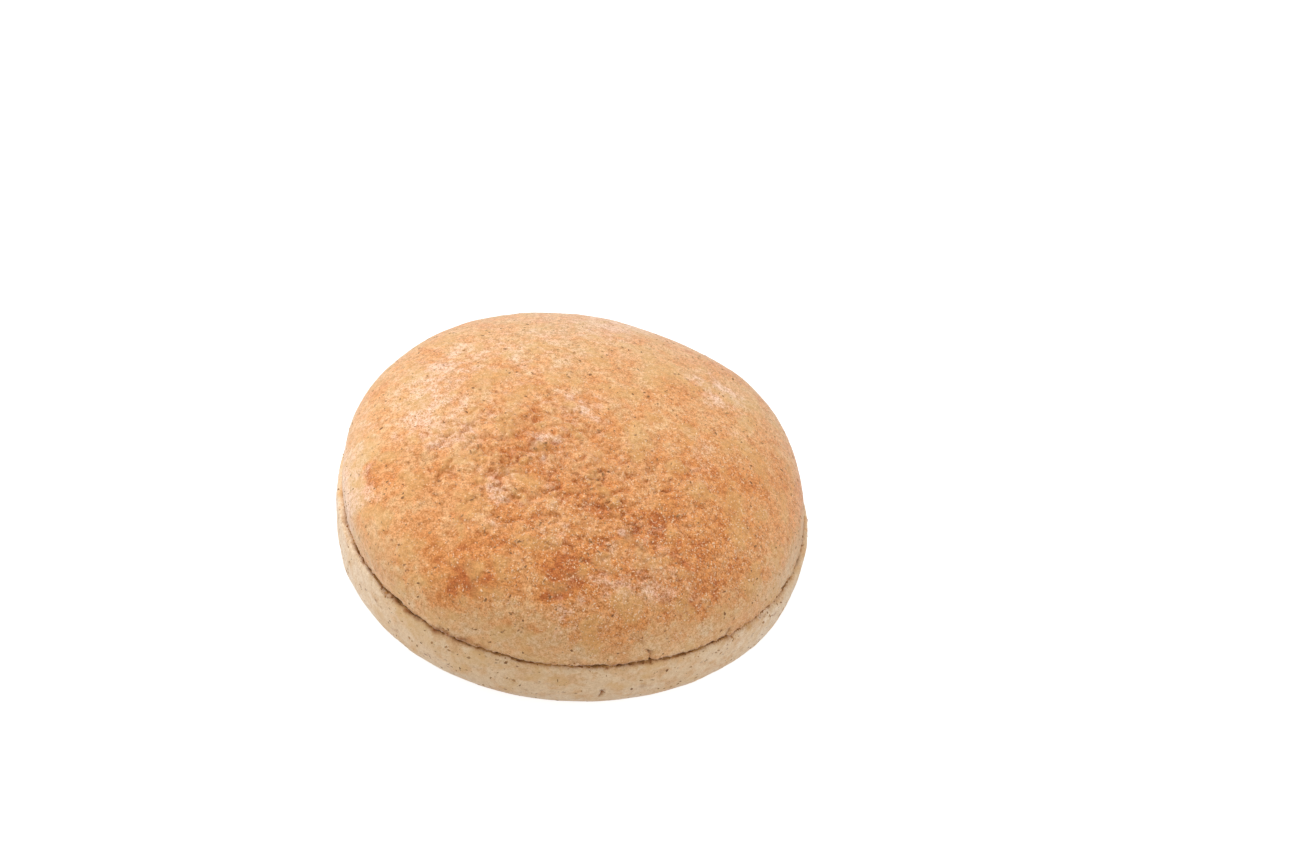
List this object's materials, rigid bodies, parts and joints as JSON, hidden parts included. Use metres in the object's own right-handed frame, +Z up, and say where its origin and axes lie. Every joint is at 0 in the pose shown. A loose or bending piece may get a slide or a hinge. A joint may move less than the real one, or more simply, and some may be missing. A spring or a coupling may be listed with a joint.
{
  "type": "hamburger bun",
  "caption": "Round wholemeal hamburger bun with a low, wrinkled, browned dome, sliced level round its side into a crown and a heel that still lie together.",
  "frame": {"origin": "under the middle of the bun's outline, on the surface that its flat base rests on", "axes": "+Z up through the dome, -Y towards the browned, wrinkled side of the crown, +X to the right of it"},
  "size_m": [0.1102, 0.11, 0.0437],
  "materials": {
    "crown_crust": "matte",
    "heel_crust": "matte"
  },
  "bodies": {
    "root": {"crown": "crown_crust", "heel": "heel_crust"}
  },
  "joints": []
}
